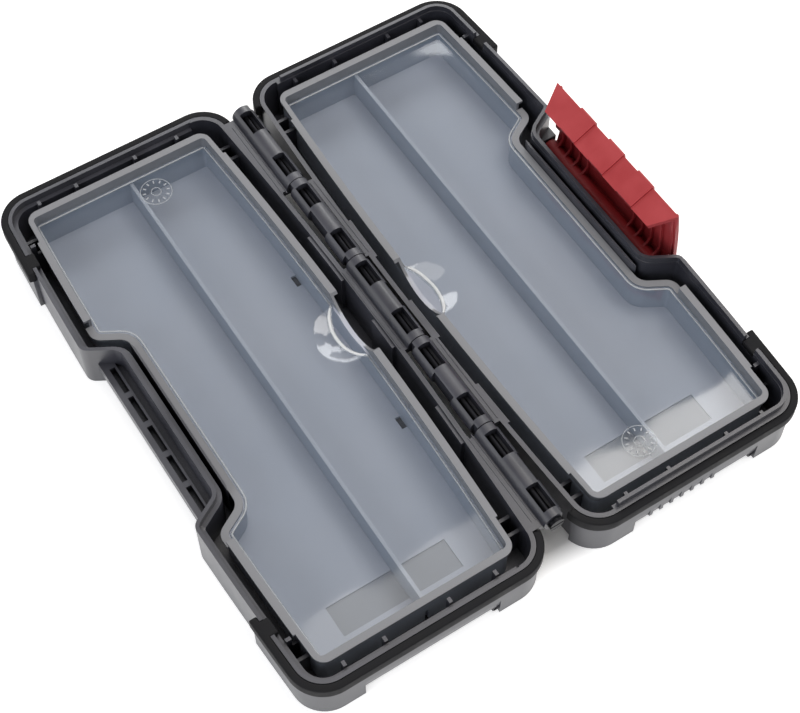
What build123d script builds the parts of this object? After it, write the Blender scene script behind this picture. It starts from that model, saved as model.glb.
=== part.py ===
from build123d import *
import os

# A saw blade storage case: two shallow half shells on one long knuckle hinge, lying open and flat.
# The base half, with the latch, is on +X and the lid half on -X. Y runs along the hinge, and z = 0 is
# the surface that the case lies on. Both halves are drawn on +X, and the lid's pieces are mirrored.

# ---- overall sizes, in mm
half_depth = 24.0        # resting surface to hinge axis: half the thickness of the closed case
closing_gap = 0.3        # left between the two rims when the case is closed
front_reach = 119.3      # hinge axis to the outside of the front wall, at mid length
hinge_reach = 6.3        # hinge axis to the outside of the hinge side wall, at mid length
shell_half_length = 131.3
edge_bow = 3.6           # how far each long edge has curved in at bow_station
bow_station = 122.0
shell_corner = 12.5
rim_z = half_depth - closing_gap / 2

# ---- shell walls
wall = 2.0
floor_thickness = 2.1

# ---- the recess in the front wall, where the latch sits
recess_mouth = 95.5      # width at the front wall
recess_back = 79.0       # width at its back wall
recess_depth = 14.3
recess_round = 5.0
recess_back_x = front_reach - recess_depth

# ---- rim: the base carries a tongue, and the lid a rebate that it drops into
rim_width = 3.6
rim_start_x = hinge_reach + 16.2   # nearer to the hinge the rim is only as wide as the wall
lid_ridge_width = 1.6
tongue_clearance = 0.2
tongue_width = 1.5
tongue_height = 3.0
rebate_depth = 3.3
tongue_end_gap = 2.0

# ---- corner posts, which are the feet, and the seats of the bumpers above them
post_stand = 1.8         # how far they stand out of the rim's outline
post_front_y = shell_half_length - 38.3   # where they end on the front wall
post_hinge_y = shell_half_length - 9.3    # and on the hinge side
arch_inner_x = hinge_reach + 26.2         # the arch between the two posts of a short end
arch_outer_x = front_reach - 25.3
arch_height = 11.0
arch_depth = 3.4
arch_knee_height = 5.5   # the arch leans in more below this height
arch_knee_depth = 0.8
grip_ribs = 7            # short wedges at the arch of the base's near end
grip_rib_pitch = 5.2
grip_rib_x = (arch_inner_x + arch_outer_x) / 2 - 7.2
grip_rib_width = 1.6

# ---- bumpers
bumper_height = 5.6
bumper_thickness = 3.3
bumper_hinge_y = shell_half_length - 10.7
lug_start_y = post_front_y + 2.5          # where the bumper's end grips through a notch in the rim
lug_end_y = lug_start_y + 7.5
lug_depth = 3.0
bumper_z = rim_z - bumper_height

# ---- hinge
barrel_radius = 4.95
collar_length = 14.4     # the barrel stays round for this length at each window
knuckles = 5
hinge_half_length = shell_half_length - 9.8
knuckle_length = 2 * hinge_half_length / knuckles
knuckle_gap = 0.4
knuckle_web = 3.0
knuckle_flat = 3.3       # the free side of a knuckle is cut flat between its collars
window_length = 12.4
window_width = 5.8
window_offset = 14.2     # window centre from the knuckle's centre
pin_radius = 1.75
running_clearance = 0.05
pin_head_radius = 3.3
pin_head_length = 1.6
pin_slot_width = 0.8
pin_slot_depth = 0.6
pad_thickness = 1.5      # thickened stretches of the hinge side wall, in knuckle lengths from the middle
base_pads = [(-1.54, -1.09), (-0.53, -0.08), (0.47, 0.93)]
lid_pads = [(-1.5, -1.09), (-0.41, -0.08), (0.41, 0.97)]
pad_below_rim = 1.0

# ---- trays
tray_hinge_reach = hinge_reach + 7.9
tray_front_reach = front_reach - 7.2
tray_half_length = shell_half_length - 8.3
tray_corner = 5.5
tray_recess_margin = 6.3
tray_recess_round = 6.0
tray_drop = 1.0          # flange top below the hinge axis
tray_lift = 0.2          # tray floor above the shell floor
flange_width = 3.2
flange_thickness = 1.2
flange_step = 1.0        # the flange is this much narrower near the short ends
flange_step_y = tray_half_length - 16.0
tray_wall = 1.2
tray_floor = 1.2
cover_ledge = 0.8
divider_x = hinge_reach + 52.35
divider_thickness = 1.6
divider_below_cover = 0.5
low_flange_drop = 5.8    # the flange along the recess lies lower
low_flange_y = recess_mouth / 2 + 12.25
dip_half_width = 17.0    # the finger dip in the hinge side of the flange
dip_depth = 8.0
snap_y = 42.3            # small catches over the cover, with a slot in the floor under each
snap_length = 6.0
snap_proud = 0.3
snap_rise = 0.8          # over the cover's top
floor_slot_width = 2.5
panel_sink = 0.5         # blank panel in the tray floor
panel_x = divider_x + 3.35
panel_width = 55.2
panel_length = 14.0
panel_y = -tray_half_length + 12.6 + panel_length / 2
tray_top = half_depth - tray_drop
tray_bottom = floor_thickness + tray_lift
tray_floor_top = tray_bottom + tray_floor

# ---- covers
cover_drop = 6.3         # cover's top below the hinge axis
cover_thickness = 0.9
cover_clearance = 0.4
crescent_half_width = 14.6
crescent_depth = 5.5
scoop_radius = 14.5
scoop_depth = 2.5
scoop_flat = 6.0         # radius of the scoop's flat bottom
scoop_x = tray_hinge_reach + 7.3
cover_top = half_depth - cover_drop
cover_bottom = cover_top - cover_thickness

# ---- the latch, as it stands when it is shut, and what it hangs on and grips
latch_pivot_x = recess_back_x + 8.5
latch_pivot_drop = 14.0
latch_pin_radius = 1.5
latch_pin_half = recess_back / 2 + 3.9
latch_barrel_radius = 3.7
latch_wall = 1.8
latch_half_front = recess_mouth / 2 - 4.35
latch_half_back = recess_back / 2 - 2.6
latch_lower_half = recess_back / 2 + 0.9
latch_back_x = recess_back_x + 0.5
latch_ridge_x = recess_back_x + 11.4
latch_ridge_rise = 24.2
latch_back_rise = 18.2
latch_belly_x = recess_back_x + 15.2
latch_belly_drop = 7.3
latch_foot_x = recess_back_x + 13.6
latch_foot_drop = 18.0
latch_face_bulge = 0.5   # how far the face swells out of the line from belly to ridge
latch_rib_thickness = 1.0
latch_rib_depth = 1.6
latch_rib_first = 17.0
latch_rib_pitch = 6.2
latch_rib_count = 4      # on each side of the middle
grip_panel_width = 10.4
grip_panel_pitch = 20.4
grip_panels = 3
grip_panel_proud = 0.8
latch_web = 2.4
latch_side_gap = 0.5
ear_height = 9.0
ear_x_reach = recess_back_x + 12.0
shelf_top_drop = 10.5    # the slotted shelf in the lid's recess
shelf_under_drop = 15.9
shelf_x = recess_back_x + 9.0
shelf_groove_depth = 1.8 # a groove between its slotted bar and the recess wall
shelf_groove_x = recess_back_x + 3.0
slot_count = 5
slot_length = 13.6
slot_pitch = 16.4
slot_x = recess_back_x + 5.2
slot_width = 2.4
slot_depth = 4.2

# ---- small ribs that keep the tray from shifting between the walls
rib_thickness = 1.5
seat_ribs = 2            # at each corner
seat_rib_pitch = 7.0
seat_rib_y = [tray_half_length - 9.0 - i * seat_rib_pitch for i in range(seat_ribs)]
seat_rib_drop = 7.5      # below the hinge axis
rib_tray_gap = 0.3
guide_rib_x = [divider_x + step for step in (-27.6, -6.6, 22.4, 40.4)]
guide_rib_y = seat_rib_y[-1]
guide_rib_reach = 2.5    # out from the rim's inner edge
guide_rib_drop = 1.4     # below the hinge axis


def edge_x(reach, y, inward):
    # the long edges curve: x at a station y, for an edge at this reach
    return reach + inward * edge_bow * (y / bow_station) ** 2


def bowed_panel(hinge_x, front_x, half_length, corner):
    # a rectangle with slightly curved long edges and rounded corners
    hinge_end = edge_x(hinge_x, half_length, 1)
    front_end = edge_x(front_x, half_length, -1)
    with BuildSketch(mode=Mode.PRIVATE) as panel:
        with BuildLine():
            ThreePointArc((hinge_end, -half_length), (hinge_x, 0), (hinge_end, half_length))
            Line((hinge_end, half_length), (front_end, half_length))
            ThreePointArc((front_end, half_length), (front_x, 0), (front_end, -half_length))
            Line((front_end, -half_length), (hinge_end, -half_length))
        make_face()
        fillet(panel.vertices(), corner)
    return panel.sketch


def recess_void(margin=0.0):
    # the trapezoid taken out of the front edge, grown by a margin on all sides
    spread = (recess_mouth - recess_back) / 2 / recess_depth
    back_x = recess_back_x - margin
    half_back = recess_back / 2 + margin
    length = 2 * recess_depth
    half_mouth = half_back + spread * length
    with BuildSketch(mode=Mode.PRIVATE) as void:
        with BuildLine():
            Polyline(
                (back_x, -half_back),
                (back_x + length, -half_mouth),
                (back_x + length, half_mouth),
                (back_x, half_back),
                close=True,
            )
        make_face()
    return void.sketch


def with_recess(panel, void, radius):
    with BuildSketch(mode=Mode.PRIVATE) as cut:
        add(panel)
        add(void, mode=Mode.SUBTRACT)
        at_recess = cut.vertices().filter_by_position(Axis.Y, -recess_mouth, recess_mouth)
        fillet(at_recess.filter_by_position(Axis.X, divider_x, front_reach), radius)
    return cut.sketch


def grown(plan, by):
    return offset(plan, by, mode=Mode.PRIVATE)


def window(x_low, x_high, y_low, y_high):
    # a rectangular piece of the plan
    with BuildSketch(mode=Mode.PRIVATE) as piece:
        with Locations(((x_low + x_high) / 2, (y_low + y_high) / 2)):
            Rectangle(x_high - x_low, y_high - y_low)
    return piece.sketch


def block(plan, low, high, mode=Mode.ADD, plane=Plane.XY):
    # a profile drawn out from one distance off its plane to another, in the part that is being built
    with BuildSketch(plane.offset(low)) as level:
        add(plan)
    extrude(level.sketch, amount=high - low, mode=mode)


# ---- plans that the pieces share
beyond = 2 * (front_reach + shell_half_length)
shell_plan = with_recess(
    bowed_panel(hinge_reach, front_reach, shell_half_length, shell_corner),
    recess_void(),
    recess_round,
)
wall_inner = grown(shell_plan, -wall)
rim_inner = grown(shell_plan, -rim_width)
ridge_inner = grown(shell_plan, -lid_ridge_width)
tongue_setback = lid_ridge_width + tongue_clearance
tongue_outer = grown(shell_plan, -tongue_setback)
tongue_inner = grown(shell_plan, -tongue_setback - tongue_width)

tray_plan = with_recess(
    bowed_panel(tray_hinge_reach, tray_front_reach, tray_half_length, tray_corner),
    recess_void(tray_recess_margin),
    tray_recess_round,
)
tray_opening = grown(tray_plan, -flange_width)
tray_pocket = grown(tray_plan, -flange_width - cover_ledge)
tub_outer = grown(tray_plan, -flange_width + tray_wall)
cover_plan = grown(tray_plan, -flange_width - cover_clearance)

with BuildSketch() as post_plan:
    add(window(divider_x, beyond, post_front_y, beyond))
    add(window(0, divider_x, post_hinge_y, beyond))
    mirror(about=Plane.XZ)
    add(grown(shell_plan, post_stand), mode=Mode.INTERSECT)

with BuildSketch() as bumper_plan:
    add(window(divider_x, beyond, post_front_y, beyond))
    add(window(0, divider_x, bumper_hinge_y, beyond))
    add(grown(shell_plan, bumper_thickness), mode=Mode.INTERSECT)

# where the bumpers' end lugs pass through the rim
with BuildSketch() as lug_plan:
    add(window(divider_x, beyond, lug_start_y, lug_end_y))
    mirror(about=Plane.XZ)
    add(shell_plan, mode=Mode.INTERSECT)
    add(rim_inner, mode=Mode.SUBTRACT)

with BuildSketch() as tongue_plan:
    add(tongue_outer)
    add(tongue_inner, mode=Mode.SUBTRACT)
    add(window(rim_start_x + tongue_end_gap, beyond, -beyond, beyond), mode=Mode.INTERSECT)
    add(lug_plan.sketch, mode=Mode.SUBTRACT)

with BuildSketch() as rebate_plan:
    add(ridge_inner)
    add(grown(rim_inner, -tongue_clearance), mode=Mode.SUBTRACT)
    add(window(rim_start_x, beyond, -beyond, beyond), mode=Mode.INTERSECT)

# low ribs in the corners, from the walls to the tub of the tray
with BuildSketch() as seat_rib_plan:
    for y in seat_rib_y:
        with Locations((divider_x, y), (divider_x, -y)):
            Rectangle(beyond, rib_thickness)
    add(grown(shell_plan, -wall / 2), mode=Mode.INTERSECT)
    add(grown(tub_outer, rib_tray_gap), mode=Mode.SUBTRACT)

# short ribs up to the rim, which guide the tray's flange as it goes in
with BuildSketch() as guide_rib_plan:
    for x in guide_rib_x:
        with Locations((x, 0)):
            Rectangle(rib_thickness, beyond)
    with Locations((front_reach, guide_rib_y), (front_reach, -guide_rib_y)):
        Rectangle(2 * (front_reach - divider_x), rib_thickness)
    add(grown(shell_plan, -wall / 2), mode=Mode.INTERSECT)
    add(grown(rim_inner, -guide_rib_reach), mode=Mode.SUBTRACT)

# ---- what the two half shells have in common
with BuildPart() as cavity:
    with BuildSketch() as inside_rim:
        add(window(0, rim_start_x, -beyond, beyond))
        add(wall_inner, mode=Mode.INTERSECT)
        add(rim_inner)
    block(inside_rim.sketch, floor_thickness, rim_z)

# the ends of each half shell lean in towards the bottom between their posts
arch_y = shell_half_length + post_stand
with BuildSketch() as arch_profile:
    with BuildLine():
        Polyline((arch_y, arch_height), (arch_y - arch_knee_depth, arch_knee_height),
                 (arch_y - arch_depth, 0), (arch_y + wall, 0), (arch_y + wall, arch_height), close=True)
    make_face()
    mirror(about=Plane.YZ)

with BuildPart() as half_shell:
    block(shell_plan, 0, rim_z)
    block(post_plan.sketch, 0, bumper_z)
    block(arch_profile.sketch, arch_inner_x, arch_outer_x, Mode.SUBTRACT, Plane.YZ)
    add(cavity.part, mode=Mode.SUBTRACT)
    block(seat_rib_plan.sketch, floor_thickness / 2, half_depth - seat_rib_drop)
    block(guide_rib_plan.sketch, floor_thickness / 2, half_depth - guide_rib_drop)
    block(lug_plan.sketch, rim_z - lug_depth, rim_z, Mode.SUBTRACT)


def add_pads(spans):
    # the hinge side wall is thicker along these stretches
    with BuildSketch() as pads:
        for low, high in spans:
            add(window(0, divider_x, low * knuckle_length, high * knuckle_length))
        add(wall_inner, mode=Mode.INTERSECT)
        add(grown(wall_inner, -pad_thickness), mode=Mode.SUBTRACT)
    block(pads.sketch, floor_thickness / 2, rim_z - pad_below_rim)


def add_knuckles(stations):
    # hinge knuckles, each a barrel on a web from the rim, with windows down to the pin
    length = knuckle_length - knuckle_gap
    web_limit = bumper_hinge_y - knuckle_gap
    with BuildSketch() as barrel:
        Circle(barrel_radius)
    with BuildSketch() as flats:
        # the free side is flat except round the windows
        add(window(-2 * barrel_radius, -knuckle_flat, -barrel_radius, barrel_radius))
    with BuildSketch() as webs:
        for y in stations:
            add(window(0, divider_x, y - length / 2, y + length / 2))
        add(window(0, divider_x, -web_limit, web_limit), mode=Mode.INTERSECT)
        add(window(0, hinge_reach + edge_bow + wall, -beyond, beyond), mode=Mode.INTERSECT)
        add(wall_inner, mode=Mode.SUBTRACT)
    collar_end = window_offset + collar_length / 2
    collar_start = window_offset - collar_length / 2
    for y in stations:
        # seen from the near end, with the hinge axis at the sketch's origin
        section = Plane(origin=(0, y, half_depth), x_dir=(1, 0, 0), z_dir=(0, -1, 0))
        block(barrel.sketch, -length / 2, length / 2, plane=section)
        for low, high in ((-length / 2, -collar_end), (-collar_start, collar_start),
                          (collar_end, length / 2)):
            block(flats.sketch, low, high, Mode.SUBTRACT, section)
    block(webs.sketch, rim_z - knuckle_web, rim_z)
    for y in stations:
        with Locations((0, y - window_offset, half_depth), (0, y + window_offset, half_depth)):
            Box(window_width, window_length, 2 * barrel_radius,
                align=(Align.CENTER, Align.CENTER, Align.MIN), mode=Mode.SUBTRACT)
        with Locations((0, y, half_depth)):
            Cylinder(pin_radius + running_clearance, knuckle_length, rotation=(90, 0, 0),
                     mode=Mode.SUBTRACT)


# ---- base half: tongue, ears for the latch pin, and two knuckles
latch_pivot_z = half_depth - latch_pivot_drop
ear_face_y = latch_lower_half + latch_side_gap
with BuildPart() as base_shell:
    add(half_shell.part)
    block(tongue_plan.sketch, rim_z - lug_depth, rim_z + tongue_height)
    add_pads(base_pads)
    with BuildSketch() as ears:
        add(window(recess_back_x, ear_x_reach, ear_face_y, recess_mouth))
        mirror(about=Plane.XZ)
        add(recess_void(wall / 2), mode=Mode.INTERSECT)
    block(ears.sketch, latch_pivot_z - ear_height / 2, latch_pivot_z + ear_height / 2)
    with Locations((latch_pivot_x, 0, latch_pivot_z)):
        Cylinder(latch_pin_radius + running_clearance, 2 * (latch_pin_half + latch_side_gap),
                 rotation=(90, 0, 0), mode=Mode.SUBTRACT)
    grip_start = grip_rib_x - (grip_ribs - 1) / 2 * grip_rib_pitch - grip_rib_width / 2
    with BuildSketch() as grip:
        with BuildLine():
            Polyline((-arch_y, arch_height), (-arch_y, arch_knee_height),
                     (-arch_y + arch_knee_depth, arch_knee_height), close=True)
        make_face()
    for i in range(grip_ribs):
        rib_x = grip_start + i * grip_rib_pitch
        block(grip.sketch, rib_x, rib_x + grip_rib_width, plane=Plane.YZ)
    add_knuckles([-knuckle_length, knuckle_length])
base_shell.part.label = "base_shell"

# ---- lid half: rebate, slotted shelf in the recess, and three knuckles
with BuildPart() as lid_half:
    add(half_shell.part)
    block(rebate_plan.sketch, rim_z - rebate_depth, rim_z, Mode.SUBTRACT)
    add_pads(lid_pads)
    shelf_top = half_depth - shelf_top_drop
    with BuildSketch() as shelf:
        add(recess_void(wall / 2))
        add(window(0, shelf_x, -beyond, beyond), mode=Mode.INTERSECT)
    block(shelf.sketch, half_depth - shelf_under_drop, shelf_top)
    with BuildSketch() as slots:
        with Locations((slot_x, 0)):
            with GridLocations(slot_width, slot_pitch, 1, slot_count):
                Rectangle(slot_width, slot_length)
    block(slots.sketch, shelf_top - slot_depth, shelf_top, Mode.SUBTRACT)
    with BuildSketch() as groove:
        add(shell_plan)
        add(recess_void())
        add(window(recess_back_x, shelf_groove_x, -beyond, beyond), mode=Mode.INTERSECT)
        add(shell_plan, mode=Mode.SUBTRACT)
    block(groove.sketch, shelf_top - shelf_groove_depth, shelf_top, Mode.SUBTRACT)
    add_knuckles([-2 * knuckle_length, 0, 2 * knuckle_length])

with BuildPart() as lid_shell:
    mirror(lid_half.part, about=Plane.YZ)
lid_shell.part.label = "lid_shell"

# ---- soft bumpers round the four corners of each half
with BuildPart() as base_bumper_far:
    block(bumper_plan.sketch, bumper_z, rim_z)
    block(shell_plan, 0, half_depth, Mode.SUBTRACT)
    with BuildSketch() as lug:
        add(lug_plan.sketch)
        add(window(0, beyond, 0, beyond), mode=Mode.INTERSECT)
    block(lug.sketch, rim_z - lug_depth, rim_z)
base_bumper_far.part.label = "base_bumper_far"

with BuildPart() as base_bumper_near:
    mirror(base_bumper_far.part, about=Plane.XZ)
base_bumper_near.part.label = "base_bumper_near"

with BuildPart() as lid_bumper_far:
    mirror(base_bumper_far.part, about=Plane.YZ)
lid_bumper_far.part.label = "lid_bumper_far"

with BuildPart() as lid_bumper_near:
    mirror(base_bumper_near.part, about=Plane.YZ)
lid_bumper_near.part.label = "lid_bumper_near"

# ---- trays: a tub with an upstand and a flange, parted by a rib
low_flange_top = half_depth - low_flange_drop
low_zone = window(divider_x, beyond, -low_flange_y, low_flange_y)
with BuildSketch() as flange_plan:
    add(tray_plan)
    add(window(0, beyond, -flange_step_y, flange_step_y), mode=Mode.INTERSECT)
    add(bowed_panel(
        tray_hinge_reach + flange_step, tray_front_reach - flange_step, tray_half_length, tray_corner))
    add(recess_void(tray_recess_margin), mode=Mode.SUBTRACT)
    add(tray_plan, mode=Mode.INTERSECT)

with BuildSketch() as low_flange_plan:
    add(tray_plan)
    add(low_zone, mode=Mode.INTERSECT)

with BuildPart() as base_tray:
    block(tub_outer, tray_bottom, tray_top)
    block(flange_plan.sketch, tray_top - flange_thickness, tray_top)
    block(low_zone, low_flange_top, half_depth, Mode.SUBTRACT)
    block(low_flange_plan.sketch, low_flange_top - flange_thickness, low_flange_top)
    block(tray_opening, cover_bottom, half_depth, Mode.SUBTRACT)
    block(tray_pocket, tray_floor_top, cover_bottom, Mode.SUBTRACT)
    block(window(panel_x - panel_width / 2, panel_x + panel_width / 2,
                 panel_y - panel_length / 2, panel_y + panel_length / 2),
          tray_floor_top - panel_sink, tray_floor_top, Mode.SUBTRACT)
    with BuildSketch() as divider:
        with Locations((divider_x, 0)):
            Rectangle(divider_thickness, 2 * tray_half_length)
        add(tub_outer, mode=Mode.INTERSECT)
    block(divider.sketch, tray_bottom, cover_bottom - divider_below_cover)
    # finger dip, a round cut across the hinge side of the upstand
    dip_radius = (dip_half_width**2 + dip_depth**2) / (2 * dip_depth)
    with BuildSketch(Plane.YZ.offset(tray_hinge_reach - flange_width)):
        with Locations((0, tray_top - dip_depth + dip_radius)):
            Circle(dip_radius)
    extrude(amount=3 * flange_width + cover_ledge, mode=Mode.SUBTRACT)
    # catches above the cover, and the slots in the floor that let them be moulded
    with BuildSketch() as catches:
        add(window(0, divider_x, snap_y - snap_length / 2, snap_y + snap_length / 2))
        mirror(about=Plane.XZ)
        add(tray_opening, mode=Mode.INTERSECT)
        add(grown(tray_opening, -snap_proud), mode=Mode.SUBTRACT)
    block(catches.sketch, cover_top + snap_rise, tray_top - flange_thickness)
    slot_side = edge_x(tray_hinge_reach, snap_y, 1) + flange_width + cover_ledge
    with BuildSketch() as slots:
        with Locations((slot_side + floor_slot_width / 2, snap_y)):
            Rectangle(floor_slot_width, snap_length)
        mirror(about=Plane.XZ)
    block(slots.sketch, tray_bottom, tray_floor_top, Mode.SUBTRACT)
base_tray.part.label = "base_tray"

with BuildPart() as lid_tray:
    mirror(base_tray.part, about=Plane.YZ)
lid_tray.part.label = "lid_tray"

# ---- clear covers, with a scooped finger crescent
with BuildPart() as base_cover:
    block(cover_plan, cover_bottom, cover_top)
    scoop_plane = Plane(origin=(scoop_x, 0, cover_top), x_dir=(1, 0, 0), z_dir=(0, -1, 0))
    scoop_axis = Axis((scoop_x, 0, 0), (0, 0, 1))
    with BuildSketch(scoop_plane) as hollow:
        with BuildLine():
            Polyline((0, -scoop_depth), (scoop_flat, -scoop_depth), (scoop_radius, 0), (0, 0), close=True)
        make_face()
    revolve(axis=scoop_axis, mode=Mode.SUBTRACT)
    with BuildSketch(scoop_plane) as skin:
        with BuildLine():
            Polyline((0, -scoop_depth), (scoop_flat, -scoop_depth), (scoop_radius, 0),
                     (scoop_radius, -cover_thickness), (scoop_flat, -scoop_depth - cover_thickness),
                     (0, -scoop_depth - cover_thickness), close=True)
        make_face()
    revolve(axis=scoop_axis)
    crescent_radius = (crescent_half_width**2 + crescent_depth**2) / (2 * crescent_depth)
    cover_edge = tray_hinge_reach + flange_width + cover_clearance
    with BuildSketch() as crescent:
        with Locations((cover_edge + crescent_depth - crescent_radius, 0)):
            Circle(crescent_radius)
    block(crescent.sketch, 0, half_depth, Mode.SUBTRACT)
base_cover.part.label = "base_cover"

with BuildPart() as lid_cover:
    mirror(base_cover.part, about=Plane.YZ)
lid_cover.part.label = "lid_cover"

# ---- hinge pin, with a slotted head at the near end
with BuildPart() as hinge_pin:
    with Locations((0, 0, half_depth)):
        Cylinder(pin_radius, 2 * hinge_half_length, rotation=(90, 0, 0))
    with Locations((0, -hinge_half_length, half_depth)):
        Cylinder(pin_head_radius, pin_head_length, rotation=(90, 0, 0),
                 align=(Align.CENTER, Align.CENTER, Align.MIN))
    with Locations((0, -hinge_half_length - pin_head_length, half_depth)):
        Box(2 * pin_head_radius, 2 * pin_slot_depth, pin_slot_width, mode=Mode.SUBTRACT)
hinge_pin.part.label = "hinge_pin"

# ---- latch: a curved face with a hook along its top, stiffened by ribs, on a barrel
belly = (latch_belly_x, half_depth - latch_belly_drop)
ridge = (latch_ridge_x, half_depth + latch_ridge_rise)
back = (latch_back_x, half_depth + latch_back_rise)
foot = (latch_foot_x, half_depth - latch_foot_drop)
face_middle = ((belly[0] + ridge[0]) / 2 + latch_face_bulge, (belly[1] + ridge[1]) / 2)


def latch_sheet(thickness, side=Side.RIGHT):
    # the section of the face and the hook, drawn inwards or outwards from their outside line
    with BuildSketch(mode=Mode.PRIVATE) as section:
        with BuildLine():
            Line(back, ridge)
            ThreePointArc(ridge, face_middle, belly)
            Line(belly, foot)
            offset(amount=thickness, side=side, closed=True)
        make_face()
    return section.sketch


# the latch from above: narrower at the tip of the hook
with BuildSketch() as latch_plan:
    with BuildLine():
        Polyline((latch_back_x - latch_wall, 0), (latch_back_x - latch_wall, latch_half_back),
                 (latch_back_x, latch_half_back), (latch_ridge_x, latch_half_front),
                 (beyond, latch_half_front), (beyond, 0), close=True)
    make_face()
    mirror(about=Plane.XZ)

with BuildPart() as latch:
    block(latch_sheet(latch_wall), -latch_half_front, latch_half_front, plane=Plane.XZ)
    block(latch_plan.sketch, 0, 2 * half_depth + latch_ridge_rise, Mode.INTERSECT)
    # below the belly the face is narrower, so that it turns between the ears
    with BuildSketch() as narrowed:
        add(window(0, beyond, latch_lower_half, beyond))
        mirror(about=Plane.XZ)
    block(narrowed.sketch, 0, belly[1], Mode.SUBTRACT)
    with BuildSketch() as rib:
        add(latch_sheet(latch_wall + latch_rib_depth))
        add(window(shelf_x + latch_side_gap, beyond, belly[1], ridge[1]), mode=Mode.INTERSECT)
    for i in range(latch_rib_count):
        rib_y = latch_rib_first + i * latch_rib_pitch
        for middle in (-rib_y, rib_y):
            block(rib.sketch, middle - latch_rib_thickness / 2, middle + latch_rib_thickness / 2,
                  plane=Plane.XZ)
    # raised grip panels on the face, which wrap over the ridge
    with BuildSketch() as panel:
        add(latch_sheet(grip_panel_proud, Side.LEFT))
        add(window(latch_back_x, beyond, belly[1], beyond), mode=Mode.INTERSECT)
    for i in range(grip_panels):
        middle = (i - (grip_panels - 1) / 2) * grip_panel_pitch
        block(panel.sketch, middle - grip_panel_width / 2, middle + grip_panel_width / 2, plane=Plane.XZ)
    # the barrel on its web, and its bore
    with BuildSketch() as barrel:
        with Locations((latch_pivot_x, latch_pivot_z)):
            Circle(latch_barrel_radius)
            Rectangle(foot[0] - latch_wall / 2 - latch_pivot_x, latch_web,
                      align=(Align.MIN, Align.CENTER))
    block(barrel.sketch, -latch_lower_half, latch_lower_half, plane=Plane.XZ)
    with Locations((latch_pivot_x, 0, latch_pivot_z)):
        Cylinder(latch_pin_radius + running_clearance, 2 * latch_half_front, rotation=(90, 0, 0),
                 mode=Mode.SUBTRACT)
latch.part.label = "latch"

with BuildPart() as latch_pin:
    with Locations((latch_pivot_x, 0, latch_pivot_z)):
        Cylinder(latch_pin_radius, 2 * latch_pin_half, rotation=(90, 0, 0))
latch_pin.part.label = "latch_pin"

os.makedirs("parts", exist_ok=True)
pieces = [
    base_shell, lid_shell, base_bumper_far, base_bumper_near, lid_bumper_far, lid_bumper_near,
    base_tray, lid_tray, base_cover, lid_cover, hinge_pin, latch, latch_pin,
]
for piece in pieces:
    export_step(piece.part, f"parts/{piece.part.label}.step")
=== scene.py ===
import math

import bmesh
import bpy
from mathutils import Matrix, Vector


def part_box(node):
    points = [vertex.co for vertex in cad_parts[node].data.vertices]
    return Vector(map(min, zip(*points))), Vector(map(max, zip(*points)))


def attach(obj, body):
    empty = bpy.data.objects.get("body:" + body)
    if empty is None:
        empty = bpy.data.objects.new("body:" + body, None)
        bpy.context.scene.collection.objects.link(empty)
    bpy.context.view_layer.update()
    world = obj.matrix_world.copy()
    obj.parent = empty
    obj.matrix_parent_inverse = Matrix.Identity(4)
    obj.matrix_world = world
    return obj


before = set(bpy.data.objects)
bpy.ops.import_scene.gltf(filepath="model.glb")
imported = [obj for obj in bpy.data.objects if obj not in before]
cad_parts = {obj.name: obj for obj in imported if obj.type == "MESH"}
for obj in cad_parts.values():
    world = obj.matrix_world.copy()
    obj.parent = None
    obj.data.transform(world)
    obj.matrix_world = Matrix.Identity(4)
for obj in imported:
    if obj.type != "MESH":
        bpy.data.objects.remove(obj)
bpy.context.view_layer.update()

mm = 0.001


def linearColour(code, alpha=1.0):
    # an sRGB hex code as linear red, green, blue and alpha
    parts = [int(code[i:i + 2], 16) / 255 for i in (1, 3, 5)]
    lin = [p / 12.92 if p <= 0.04045 else ((p + 0.055) / 1.055) ** 2.4 for p in parts]
    return (*lin, alpha)


def addNode(tree, kind, inputs=None, **settings):
    # an input is a plain value or another node's output
    node = tree.nodes.new("ShaderNode" + kind)
    for name, value in settings.items():
        setattr(node, name, value)
    for name, value in (inputs or {}).items():
        if isinstance(value, bpy.types.NodeSocket):
            tree.links.new(value, node.inputs[name])
        else:
            node.inputs[name].default_value = value
    return node


def newMaterial(name):
    material = bpy.data.materials.new(name)
    material.use_nodes = True
    material.node_tree.nodes.clear()
    return material, material.node_tree


def grain(tree, size, detail=3.0):
    # noise whose features are about this size, in metres
    point = addNode(tree, "TexCoord").outputs["Object"]
    return addNode(tree, "TexNoise", {"Vector": point, "Scale": 1 / size, "Detail": detail}).outputs["Fac"]


def ramp(tree, factor, stops):
    # a colour ramp from (position, hex code) pairs
    node = addNode(tree, "ValToRGB", {"Fac": factor})
    elements = node.color_ramp.elements
    while len(elements) < len(stops):
        elements.new(0.5)
    for element, (position, code) in zip(elements, stops):
        element.position = position
        element.color = linearColour(code)
    return node.outputs["Color"]


def spread(tree, factor, low, high, start=0.0, end=1.0):
    return addNode(tree, "MapRange", {
        "Value": factor, "From Min": start, "From Max": end, "To Min": low, "To Max": high}).outputs["Result"]


def grown(tree, height, strength, depth):
    # a bump from a height between 0 and 1, this deep in metres
    return addNode(tree, "Bump", {"Strength": strength, "Distance": depth, "Height": height}).outputs["Normal"]


# the near-black for deep gaps, and how far it reaches, are painted shade
shellAbs = {"dark": "#2f3038", "light": "#3d3e47", "pebble": 0.45 * mm, "cloud": 22 * mm,
            "roughLow": 0.3, "roughHigh": 0.42, "bump": 0.12, "specular": 1.0,
            "hollow": "#050506", "hollowReach": 9 * mm}
hollowShare = (0.08, 0.45)  # how open a spot is, between 0 and 1, where the painted shade is deepest and where it ends
# the gloss left where the painted shade is deepest
hollowGloss = 0.1


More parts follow.
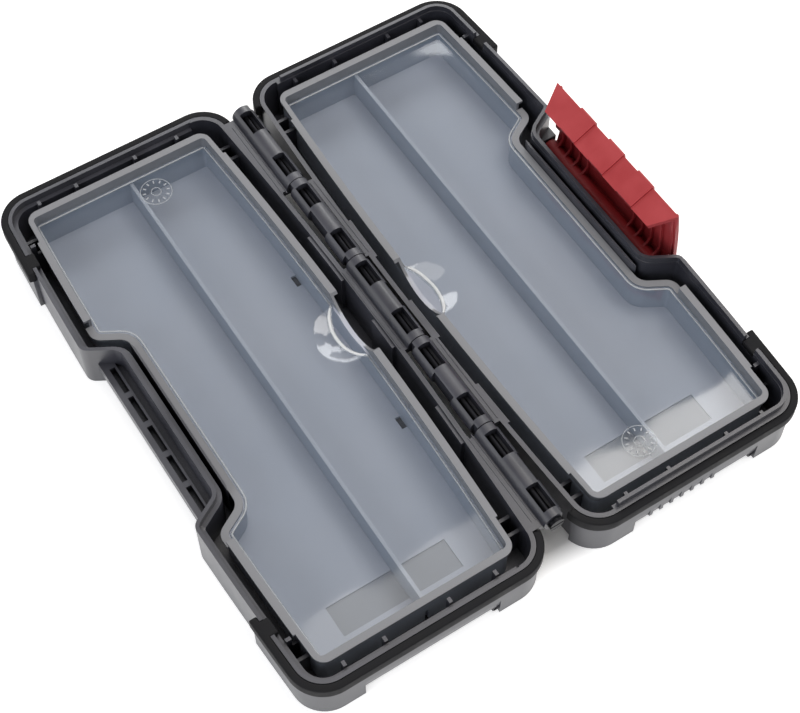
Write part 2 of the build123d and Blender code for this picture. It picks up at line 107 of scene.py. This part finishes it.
def makeGrainedPlastic(name, spec):
    # ABS, polypropylene or rubber moulded in a spark-eroded tool: a fine even pebble that breaks the
    # highlight into a sheen, over faint clouds of gloss where the melt cooled unevenly
    material, tree = newMaterial(name)
    cloud = grain(tree, spec["cloud"], 4.0)
    colour = ramp(tree, cloud, ((0.35, spec["dark"]), (0.7, spec["light"])))
    gloss = spec["specular"]
    if "hollow" in spec:  # painted shade: deep gaps and nooks get a darker colour and less gloss, by how open each spot is
        openness = addNode(tree, "AmbientOcclusion", {"Distance": spec["hollowReach"]}, samples=6).outputs["AO"]
        colour = addNode(tree, "Mix", {
            "Factor": spread(tree, openness, 0.0, 1.0, *hollowShare), 6: linearColour(spec["hollow"]), 7: colour},
            data_type="RGBA").outputs[2]
        gloss = spread(tree, openness, hollowGloss, spec["specular"], *hollowShare)
    surface = addNode(tree, "BsdfPrincipled", {
        "Base Color": colour, "IOR": 1.54, "Specular IOR Level": gloss,
        "Roughness": spread(tree, cloud, spec["roughLow"], spec["roughHigh"], 0.3, 0.7),
        "Normal": grown(tree, grain(tree, spec["pebble"], 2.0), spec["bump"], 0.05 * mm)})
    addNode(tree, "OutputMaterial", {"Surface": surface.outputs["BSDF"]})
    return material


bumperRubber = {"dark": "#101012", "light": "#1b1b1e", "pebble": 0.7 * mm, "cloud": 7 * mm,
                "roughLow": 0.55, "roughHigh": 0.75, "bump": 0.3, "specular": 0.2}

# the deep red for the latch's inner nooks, and its reach, are painted shade
latchPolypropylene = {"dark": "#ad3438", "light": "#ba4145", "pebble": 0.6 * mm, "cloud": 15 * mm,
                      "roughLow": 0.4, "roughHigh": 0.52, "bump": 0.45, "specular": 0.5,
                      "hollow": "#6a0814", "hollowReach": 10 * mm}

# the wall, edge and upper wall tones are painted shade and painted highlight, chosen by which way a face points
trayPolypropylene = {"wall": "#a3abb8", "edge": "#c4c8cc", "floor": "#c0c3cf", "floorLight": "#c6c8d3",
                     "panel": "#9c9ea6", "panelStep": (3.1 * mm, 3.4 * mm),
                     "upperWallPaintedShade": "#777a80", "flange": "#8c8d91", "ledge": (17.0 * mm, 17.8 * mm),
                     "level": (0.9, 0.98), "cloud": 55 * mm, "pebble": 0.3 * mm}


def makeTrayPolypropylene(name, spec):
    # natural polypropylene, moulded in a matt tool: milky, so the dark shell below shows through as a
    # cool grey; the walls get painted shade and the rounded edges a paler painted highlight, by how upright each
    # face is;
    # above the ledge that carries the cover, where the black wall stands close behind, a duller grey, its walls
    # painted darker than the flange
    material, tree = newMaterial(name)
    place = addNode(tree, "TexCoord")
    upright = addNode(tree, "SeparateXYZ", {"Vector": place.outputs["Normal"]}).outputs["Z"]
    height = addNode(tree, "SeparateXYZ", {"Vector": place.outputs["Object"]}).outputs["Z"]
    cloud = grain(tree, spec["cloud"], 2.0)
    floor = ramp(tree, cloud, ((0.35, spec["floor"]), (0.65, spec["floorLight"])))
    floor = addNode(tree, "Mix", {
        "Factor": spread(tree, height, 0.0, 1.0, *spec["panelStep"]), 6: linearColour(spec["panel"]), 7: floor},
        data_type="RGBA").outputs[2]
    # painted shade on upright walls and painted highlight on rounded edges, by how upright each face is
    side = ramp(tree, upright, ((0.0, spec["wall"]), (0.35, spec["wall"]), (0.72, spec["edge"])))
    below = addNode(tree, "Mix", {
        "Factor": spread(tree, upright, 0.0, 1.0, *spec["level"]), 6: side, 7: floor}, data_type="RGBA").outputs[2]
    # painted shade: the upper walls darker than the flange, by how upright each face is
    above = ramp(tree, upright, ((0.3, spec["upperWallPaintedShade"]), (0.8, spec["flange"])))
    shade = addNode(tree, "Mix", {
        "Factor": spread(tree, height, 0.0, 1.0, *spec["ledge"]), 6: below, 7: above}, data_type="RGBA").outputs[2]
    surface = addNode(tree, "BsdfPrincipled", {
        "Base Color": shade, "IOR": 1.49, "Roughness": 0.42,
        "Normal": grown(tree, grain(tree, spec["pebble"], 2.0), 0.04, 0.02 * mm)})
    addNode(tree, "OutputMaterial", {"Surface": surface.outputs["BSDF"]})
    return material


coverPolystyrene = {"tint": "#f4f6f7", "wave": 45 * mm, "waveHeight": 0.4 * mm, "roughness": 0.04,
                    "straightOn": 0.052}


def makeCoverPolystyrene(name, spec):
    # clear polystyrene, moulded against a polished tool: see-through, with reflections whose edges
    # wander where the thin sheet is not quite flat
    material, tree = newMaterial(name)
    normal = grown(tree, grain(tree, spec["wave"], 1.0), 1.0, spec["waveHeight"])
    gloss = addNode(tree, "BsdfGlossy", {
        "Color": linearColour("#ffffff"), "Roughness": spec["roughness"], "Normal": normal})
    clear = addNode(tree, "BsdfTransparent", {"Color": linearColour(spec["tint"])})
    tilt = addNode(tree, "LayerWeight", {"Blend": 0.5, "Normal": normal}).outputs["Facing"]
    grazing = addNode(tree, "Math", {0: tilt, 1: 5.0}, operation="POWER").outputs[0]
    mirrored = spread(tree, grazing, spec["straightOn"], 1.0)  # the same on both faces of the sheet
    surface = addNode(tree, "MixShader", {0: mirrored, 1: clear.outputs["BSDF"], 2: gloss.outputs["BSDF"]})
    addNode(tree, "OutputMaterial", {"Surface": surface.outputs["Shader"]})
    return material


# the whitish share on the beads, lip and dial marks is a painted highlight
coverEdge = {"tint": "#ffffff", "glow": "#d9dcde", "paintedHighlightShare": 0.45, "speckle": 1.2 * mm}
coverLip = {"tint": "#ffffff", "glow": "#f2f4f5", "paintedHighlightShare": 0.8, "speckle": 2.5 * mm}


def makeCoverEdge(name, spec):
    # the same clear plastic at its beads and marks, with a painted highlight for the light caught inside
    # the sheet that comes out there: half see-through, half painted whitish
    material, tree = newMaterial(name)
    white = addNode(tree, "BsdfPrincipled", {
        "Base Color": linearColour(spec["glow"]), "Roughness": 0.2, "IOR": 1.59})
    clear = addNode(tree, "BsdfTransparent", {"Color": linearColour(spec["tint"])})
    share = spread(tree, grain(tree, spec["speckle"], 2.0), spec["paintedHighlightShare"] - 0.1, spec["paintedHighlightShare"] + 0.1)
    surface = addNode(tree, "MixShader", {0: share, 1: clear.outputs["BSDF"], 2: white.outputs["BSDF"]})
    addNode(tree, "OutputMaterial", {"Surface": surface.outputs["Shader"]})
    return material


pinSteel = {"dark": "#17171a", "light": "#2a2a2e", "scratch": 0.35 * mm}


def makePinSteel(name, spec):
    # drawn steel rod, blackened: a dark metal with faint lines along its length
    material, tree = newMaterial(name)
    point = addNode(tree, "TexCoord").outputs["Object"]
    along = addNode(tree, "Mapping", {"Vector": point, "Scale": (1.0, 0.02, 1.0)}).outputs["Vector"]
    drawn = addNode(tree, "TexNoise", {"Vector": along, "Scale": 1 / spec["scratch"]}).outputs["Fac"]
    surface = addNode(tree, "BsdfPrincipled", {
        "Base Color": ramp(tree, drawn, ((0.3, spec["dark"]), (0.7, spec["light"]))), "Metallic": 0.9,
        "Roughness": spread(tree, drawn, 0.25, 0.45)})
    addNode(tree, "OutputMaterial", {"Surface": surface.outputs["BSDF"]})
    return material


finish = {
    "shell": makeGrainedPlastic("shellAbsSparkEroded", shellAbs),
    "bumper": makeGrainedPlastic("bumperRubberMoulded", bumperRubber),
    "latch": makeGrainedPlastic("latchPolypropyleneGrained", latchPolypropylene),
    "tray": makeTrayPolypropylene("trayPolypropyleneMatt", trayPolypropylene),
    "cover": makeCoverPolystyrene("coverPolystyreneClear", coverPolystyrene),
    "coverEdge": makeCoverEdge("coverPolystyreneEdge", coverEdge),
    "coverLip": makeCoverEdge("coverPolystyreneLip", coverLip),
    "pin": makePinSteel("pinSteelBlackened", pinSteel),
}
print("materials made")

# every moulded edge sharper than the bevel angle gets a small radius, and faces that meet at less than the
# smooth angle are one curve
edgeRadius = {"shell": 0.3 * mm, "bumper": 0.8 * mm, "tray": 0.22 * mm, "cover": 0.1 * mm,
              "latch": 0.3 * mm, "pin": 0.15 * mm, "latchGusset": 0.25 * mm, "archSocket": 0.15 * mm}
smoothAngle = {"cover": 12, "tray": 25, "shell": 25, "bumper": 25, "latch": 25, "pin": 30, "trayDivider": 50}
bevelAngle = 35
weldReach = 0.002 * mm


def familyOf(nodeName):
    for family in ("pin", "bumper", "tray", "cover", "shell", "latch"):
        if family in nodeName:
            return family


def roundEdges(obj, radius, angle):
    obj.data.shade_smooth()
    obj.data.set_sharp_from_angle(angle=math.radians(angle))
    bevel = obj.modifiers.new("edgeRadius", "BEVEL")
    bevel.width = radius
    bevel.segments = 2
    bevel.limit_method = "ANGLE"
    bevel.angle_limit = math.radians(bevelAngle)
    normals = obj.modifiers.new("flatFaces", "WEIGHTED_NORMAL")
    normals.keep_sharp = True


def dressNode(obj):
    family = familyOf(obj.name)
    obj.data.materials.clear()
    obj.data.materials.append(finish[family])
    weld = obj.modifiers.new("weld", "WELD")
    weld.merge_threshold = weldReach
    roundEdges(obj, edgeRadius[family], smoothAngle[family])


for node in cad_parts.values():
    dressNode(node)
print("nodes dressed", len(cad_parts))


def newPiece(name, shape, look, body):
    # a finished mesh becomes an object that moves with its body
    mesh = bpy.data.meshes.new(name)
    bmesh.ops.recalc_face_normals(shape, faces=shape.faces)
    shape.to_mesh(mesh)
    shape.free()
    mesh.materials.append(finish[look])
    piece = bpy.data.objects.new(name, mesh)
    bpy.context.scene.collection.objects.link(piece)
    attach(piece, body)
    return piece


def sweep(shape, rings, closed=True):
    # skin a row of rings, each a list of points, into a tube
    made = [[shape.verts.new(point) for point in ring] for ring in rings]
    pairs = list(zip(made, made[1:] + made[:1])) if closed else list(zip(made, made[1:]))
    for one, other in pairs:
        for i in range(len(one)):
            j = (i + 1) % len(one)
            shape.faces.new((one[i], one[j], other[j], other[i]))
    if not closed:
        shape.faces.new(made[0])
        shape.faces.new(made[-1])


def topOutline(nodeName):
    # the outer edge of a node's flat top, as a closed run of points
    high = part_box(nodeName)[1].z
    shape = bmesh.new()
    shape.from_mesh(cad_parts[nodeName].data)
    bmesh.ops.remove_doubles(shape, verts=shape.verts, dist=weldReach)
    tops = {f for f in shape.faces if f.normal.z > 0.99 and abs(f.calc_center_median().z - high) < 0.05 * mm}
    steps = {}
    for face in tops:
        for loop in face.loops:
            if sum(other in tops for other in loop.edge.link_faces) == 1:
                steps[loop.vert] = loop.link_loop_next.vert
    runs = []
    while steps:
        start, following = next(iter(steps.items()))
        run = [start.co.copy()]
        steps.pop(start)
        while following is not start and following in steps:
            run.append(following.co.copy())
            following = steps.pop(following)
        runs.append(run)
    shape.free()
    return max(runs, key=lambda run: max(p.y for p in run) - min(p.y for p in run))


coverBead = {"inset": 0.35 * mm, "width": 0.9 * mm, "height": 0.4 * mm, "sink": 0.05 * mm,
             "lipWidth": 1.7 * mm, "steps": 28}
fingerScoop = {"x": 21.5 * mm, "radius": 14.5 * mm, "flat": 6.0 * mm, "depth": 2.5 * mm,
               "crescentX": 1.17 * mm, "crescentRadius": 22.13 * mm}


def scoopDrop(point, scoop):
    # how far the cover's top lies below its flat part, in the round dish round the finger crescent
    away = math.hypot(abs(point.x) - scoop["x"], point.y)
    share = (scoop["radius"] - away) / (scoop["radius"] - scoop["flat"])
    return scoop["depth"] * min(max(share, 0.0), 1.0)


def makeCoverBead(side, spec, scoop):
    # a low round bead just inside the edge of the cover, wider along the finger crescent and painted whiter there
    # as a painted highlight
    sign = 1 if side == "base" else -1
    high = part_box(side + "_cover")[1].z
    path = [point for point in topOutline(side + "_cover")  # without the rim of the dish
            if abs(math.hypot(abs(point.x) - scoop["x"], point.y) - scoop["radius"]) > 0.1 * mm]
    near = [abs(point.x) < scoop["x"] + scoop["radius"] for point in path]
    across = [near[i - 1] and near[i] and path[i - 1].y * path[i].y < 0 for i in range(len(path))]
    cut = across.index(True)  # the run begins on the far side of the crescent
    path = path[cut:] + path[:cut]
    start, end = path[-1].y, path[0].y
    for i in range(1, spec["steps"]):
        y = start + (end - start) * i / spec["steps"]
        x = scoop["crescentX"] + math.sqrt(scoop["crescentRadius"] ** 2 - y ** 2)
        path.append(Vector((sign * x, y, high)))
    height = spec["height"]
    foot = -spec["sink"]
    section = [(0.0, foot), (0.15, 0.7 * height), (0.5, height), (0.85, 0.7 * height), (1.0, foot)]
    rings = []
    for before, here, after in zip(path[-1:] + path[:-1], path, path[1:] + path[:1]):
        along = ((here - before).normalized() + (after - here).normalized()).normalized()
        inward = Vector((-along.y, along.x, 0.0))
        wider = scoopDrop(here, scoop) / scoop["depth"]
        width = spec["width"] + (spec["lipWidth"] - spec["width"]) * min(2 * wider, 1.0)
        ring = []
        for share, rise in section:
            point = here + inward * (spec["inset"] + share * width)
            point.z = high - scoopDrop(point, scoop) + rise
            ring.append(point)
        rings.append(ring)
    shape = bmesh.new()
    sweep(shape, rings)
    bead = newPiece(side + "CoverBead", shape, "coverEdge", side + "_cover")
    bead.data.materials.append(finish["coverLip"])
    bead.data.shade_smooth()
    for face in bead.data.polygons:
        if scoopDrop(face.center, scoop) > spec["sink"]:
            face.material_index = 1


coverDial = {"x": 51.8 * mm, "y": 108.0 * mm, "radius": 7.0 * mm, "line": 0.35 * mm, "height": 0.15 * mm,
             "inner": 2.2 * mm, "ticks": 12, "tickFrom": 4.6 * mm, "tickTo": 6.1 * mm, "tickWidth": 0.5 * mm}


def ringInto(shape, centre, radius, line, height, steps=48):
    rings = []
    for i in range(steps):
        turn = 2 * math.pi * i / steps
        out = Vector((math.cos(turn), math.sin(turn), 0.0))
        rings.append([centre + out * (radius + dr * line) + Vector((0.0, 0.0, dz * height))
                      for dr, dz in ((0.5, -0.3), (0.3, 1.0), (-0.3, 1.0), (-0.5, -0.3))])
    sweep(shape, rings)


def makeCoverDial(side, spec):
    # a raised ring with a smaller one and plain ticks inside it, as a round mould insert leaves
    sign = 1 if side == "base" else -1
    centre = Vector((sign * spec["x"], -sign * spec["y"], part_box(side + "_cover")[1].z))
    shape = bmesh.new()
    ringInto(shape, centre, spec["radius"], spec["line"], spec["height"])
    ringInto(shape, centre, spec["inner"], spec["line"], spec["height"])
    for i in range(spec["ticks"]):
        turn = 2 * math.pi * (i + 0.5) / spec["ticks"]
        out = Vector((math.cos(turn), math.sin(turn), 0.0))
        across = Vector((-out.y, out.x, 0.0)) * spec["tickWidth"] / 2
        rise = Vector((0.0, 0.0, spec["height"]))
        rings = [[centre + out * reach - across * 1.3 - rise * 0.3, centre + out * reach - across + rise,
                  centre + out * reach + across + rise, centre + out * reach + across * 1.3 - rise * 0.3]
                 for reach in (spec["tickFrom"], spec["tickTo"])]
        sweep(shape, rings, closed=False)
    newPiece(side + "CoverDial", shape, "coverEdge", side + "_cover")


for side in ("base", "lid"):
    makeCoverBead(side, coverBead, fingerScoop)
    makeCoverDial(side, coverDial)
print("cover beads and dials made")

trayDivider = {"x": 58.65 * mm, "bottom": 2.35 * mm, "top": 16.4 * mm, "width": 1.72 * mm,
               "rounding": 0.55 * mm, "steps": 6,
               "past": 0.1 * mm}  # how far it goes past the cover, into the tray's end walls


def makeTrayDivider(side, spec):
    # the wall between the tray's two compartments, with a rounded top, down to the floor
    sign = 1 if side == "base" else -1
    low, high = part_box(side + "_cover")
    half = spec["width"] / 2
    outline = [(-half, spec["bottom"]), (half, spec["bottom"])]
    for i in range(spec["steps"] + 1):
        turn = math.pi * i / spec["steps"]
        outline.append((half * math.cos(turn), spec["top"] - spec["rounding"] * (1 - math.sin(turn))))
    rings = [[Vector((sign * spec["x"] + x, y, z)) for x, z in outline]
             for y in (low.y - spec["past"], high.y + spec["past"])]
    shape = bmesh.new()
    sweep(shape, rings, closed=False)
    wall = newPiece(side + "TrayDivider", shape, "tray", side)
    wall.data.shade_smooth()
    wall.data.set_sharp_from_angle(angle=math.radians(smoothAngle["trayDivider"]))


for side in ("base", "lid"):
    makeTrayDivider(side, trayDivider)
print("tray dividers made")

latchEndWall = {"outside": 42.2 * mm, "thickness": 1.4 * mm,
                "profile": [(114.5, 45.4), (117.7, 47.0), (118.4, 38.0), (118.8, 27.0), (119.0, 17.5),
                            (117.4, 18.5), (116.7, 30.0), (114.5, 41.0)]}  # x and z, in mm


def makeLatchEndWall(name, sign, spec):
    # a gusset that closes each end of the latch's angle, clear of the lid's shelf
    outer = sign * spec["outside"]
    rings = [[Vector((x * mm, y, z * mm)) for x, z in spec["profile"]]
             for y in (outer, outer - sign * spec["thickness"])]
    shape = bmesh.new()
    sweep(shape, rings, closed=False)
    wall = newPiece(name, shape, "latch", "latch")
    roundEdges(wall, edgeRadius["latch"], smoothAngle["latch"])


makeLatchEndWall("latchEndWallFar", 1, latchEndWall)
makeLatchEndWall("latchEndWallNear", -1, latchEndWall)

latchGusset = {"first": 17.0 * mm, "pitch": 6.2 * mm, "perSide": 4, "thickness": 1.1 * mm,
               "wallX": 118.3 * mm, "wallTop": 25.0 * mm, "barrelX": 112.6 * mm, "barrelTop": 13.6 * mm,
               "overPin": 12.4 * mm, "pastPin": 115.8 * mm, "foot": 10.6 * mm, "steps": 8}


def makeLatchGussets(spec):
    # thin hollow-edged webs that stiffen the latch between its barrel and its wall
    outline = [(spec["barrelX"], spec["overPin"]), (spec["pastPin"], spec["overPin"]),
               (spec["pastPin"], spec["foot"]), (spec["wallX"], spec["foot"])]
    for i in range(spec["steps"] + 1):
        turn = math.pi / 2 * i / spec["steps"]
        outline.append((spec["wallX"] - (spec["wallX"] - spec["barrelX"]) * (1 - math.cos(turn)),
                        spec["wallTop"] - (spec["wallTop"] - spec["barrelTop"]) * math.sin(turn)))
    shape = bmesh.new()
    for sign in (-1, 1):
        for i in range(spec["perSide"]):
            middle = sign * (spec["first"] + i * spec["pitch"])
            sweep(shape, [[Vector((x, middle + end * spec["thickness"], z)) for x, z in outline]
                          for end in (-0.5, 0.5)], closed=False)
    webs = newPiece("latchGussets", shape, "latch", "latch")
    roundEdges(webs, edgeRadius["latchGusset"], smoothAngle["latch"])


makeLatchGussets(latchGusset)

hingeLine = {"at": (5.7 * mm, 7.6 * mm), "width": 0.55 * mm, "height": 0.25 * mm, "length": 45.0 * mm,
             "pitch": 48.6 * mm, "base": (-1, 1), "lid": (-1.94, 0, 1.94)}  # knuckles, in pitches


def makeHingeLines(side, spec):
    # fine raised lines on the plate behind each knuckle, which stiffen it
    sign = 1 if side == "base" else -1
    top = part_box(side + "_bumper_far")[1].z
    shape = bmesh.new()
    for station in spec[side]:
        for reach in spec["at"]:
            rings = []
            for end in (-0.5, 0.5):
                y = station * spec["pitch"] + end * spec["length"]
                rings.append([Vector((sign * (reach + share * spec["width"]), y, top + rise * spec["height"]))
                              for share, rise in ((-0.5, -0.5), (-0.35, 0.9), (0.35, 0.9), (0.5, -0.5))])
            sweep(shape, rings, closed=False)
    newPiece(side + "HingeLines", shape, "shell", side)


makeHingeLines("base", hingeLine)
makeHingeLines("lid", hingeLine)

archSocket = {"base": 93.0 * mm, "lid": -33.6 * mm, "z": 2.7 * mm, "bore": 1.15 * mm, "outside": 1.75 * mm,
              "rim": -132.0 * mm, "back": -129.4 * mm, "bottom": -130.6 * mm, "core": 0.05 * mm, "steps": 24}


def makeArchSocket(side, spec):
    # a small blind bore at the corner of the near arch, in a low ring
    x = spec[side]
    rings = []
    for i in range(spec["steps"]):
        turn = 2 * math.pi * i / spec["steps"]
        out = Vector((math.cos(turn), 0.0, math.sin(turn)))
        rings.append([Vector((x, y, spec["z"])) + out * radius for y, radius in (
            (spec["back"], spec["outside"]), (spec["rim"], spec["outside"]), (spec["rim"], spec["bore"]),
            (spec["bottom"], spec["bore"]), (spec["bottom"], spec["core"]), (spec["back"], spec["core"]))])
    shape = bmesh.new()
    sweep(shape, rings)
    socket = newPiece(side + "ArchSocket", shape, "shell", side)
    roundEdges(socket, edgeRadius["archSocket"], smoothAngle["shell"])


makeArchSocket("base", archSocket)
makeArchSocket("lid", archSocket)
print("latch ends, hinge lines and arch sockets made")

studio = {"floorSize": 6.0, "floorDrop": 0.02 * mm, "floorColour": "#f4f4f4", "floorGlow": 0.6,
          "slit": ((12 * mm, 20 * mm), (122 * mm, 132 * mm)),  # in x and y, where the floor's glow sets in
          "ambient": 0.3, "overhead": "#9a9aa0",
          "top": {"at": (0.68, -0.12, 1.24), "size": (0.56, 1.0), "power": 5.8, "colour": "#fffaf4"},
          "topDim": {"at": (0.025, -0.12, 1.24), "size": (0.75, 1.0), "power": 2.8, "colour": "#fffaf4"},
          "rear": {"at": (0.75, 1.5, 1.3), "size": (1.8, 0.6), "power": 12.0, "colour": "#ffffff"},
          "fill": {"at": (-1.5, -0.6, 0.9), "size": (1.2, 1.2), "power": 11.0, "colour": "#f6f9ff"}}


def seenDirectly(tree):
    # 1 for rays from the camera and for what shows in gloss or through clear plastic
    path = addNode(tree, "LightPath")
    first = addNode(tree, "Math", {0: path.outputs["Is Camera Ray"], 1: path.outputs["Is Glossy Ray"]},
                    operation="MAXIMUM")
    return addNode(tree, "Math", {0: first.outputs[0], 1: path.outputs["Is Transmission Ray"]},
                   operation="MAXIMUM").outputs[0]


def makeWorld(spec):
    world = bpy.data.worlds.new("softWhite")
    bpy.context.scene.world = world
    world.use_nodes = True
    tree = world.node_tree
    tree.nodes.clear()
    up = addNode(tree, "SeparateXYZ", {
        "Vector": addNode(tree, "TexCoord").outputs["Generated"]}).outputs["Z"]
    walls = ramp(tree, up, ((0.35, "#ffffff"), (0.7, spec["overhead"])))  # a white cove under a grey ceiling
    shown = addNode(tree, "Mix", {
        "Factor": seenDirectly(tree), 6: linearColour("#ffffff"), 7: walls}, data_type="RGBA").outputs[2]
    strength = spread(tree, seenDirectly(tree), spec["ambient"], 1.0)
    sky = addNode(tree, "Background", {"Color": shown, "Strength": strength})
    addNode(tree, "OutputWorld", {"Surface": sky.outputs["Background"]})


def makeFloor(spec):
    mesh = bpy.data.meshes.new("floor")
    shape = bmesh.new()
    bmesh.ops.create_grid(shape, x_segments=2, y_segments=2, size=spec["floorSize"] / 2)
    shape.to_mesh(mesh)
    shape.free()
    floor = bpy.data.objects.new("floor", mesh)
    floor.location.z = -spec["floorDrop"]
    bpy.context.scene.collection.objects.link(floor)
    material, tree = newMaterial("floorPaperWhite")
    place = addNode(tree, "SeparateXYZ", {"Vector": addNode(tree, "TexCoord").outputs["Object"]})
    outside = [spread(tree, addNode(tree, "Math", {0: place.outputs[axis]}, operation="ABSOLUTE").outputs[0],
                      0.0, spec["floorGlow"], *reach) for axis, reach in zip("XY", spec["slit"])]
    # no glow in the slit under the hinge
    glow = addNode(tree, "Math", {0: outside[0], 1: outside[1]}, operation="MAXIMUM").outputs[0]
    seenGlow = addNode(tree, "Math", {0: seenDirectly(tree), 1: glow}, operation="MULTIPLY").outputs[0]
    paper = addNode(tree, "BsdfPrincipled", {
        "Base Color": linearColour(spec["floorColour"]), "Roughness": 0.8, "Specular IOR Level": 0.2,
        "Emission Color": linearColour("#ffffff"), "Emission Strength": seenGlow})
    addNode(tree, "OutputMaterial", {"Surface": paper.outputs["BSDF"]})
    mesh.materials.append(material)


def makeLamp(name, spec):
    lamp = bpy.data.lights.new(name, "AREA")
    lamp.shape = "RECTANGLE"
    lamp.size, lamp.size_y = spec["size"]
    lamp.energy = spec["power"]
    lamp.color = linearColour(spec["colour"])[:3]
    holder = bpy.data.objects.new(name, lamp)
    holder.location = spec["at"]
    if not name.startswith("top"):  # the top panels hang level
        holder.rotation_euler = (-Vector(spec["at"])).to_track_quat("-Z", "Y").to_euler()
    bpy.context.scene.collection.objects.link(holder)


makeWorld(studio)
makeFloor(studio)
for lampName in ("top", "topDim", "rear", "fill"):
    makeLamp(lampName, studio[lampName])

camera = {"at": (-0.2109, -0.3391, 0.6188), "elevation": 57.95, "heading": 32.69, "lens": 76.97, "sensor": 36.0}
cameraData = bpy.data.cameras.new("camera")
cameraData.lens = camera["lens"]
cameraData.sensor_width = camera["sensor"]
cameraObject = bpy.data.objects.new("camera", cameraData)
cameraObject.location = camera["at"]
cameraObject.rotation_euler = (math.radians(90 - camera["elevation"]), 0, -math.radians(camera["heading"]))
bpy.context.scene.collection.objects.link(cameraObject)
bpy.context.scene.camera = cameraObject
bpy.context.scene.view_settings.view_transform = "Standard"
print("studio ready")
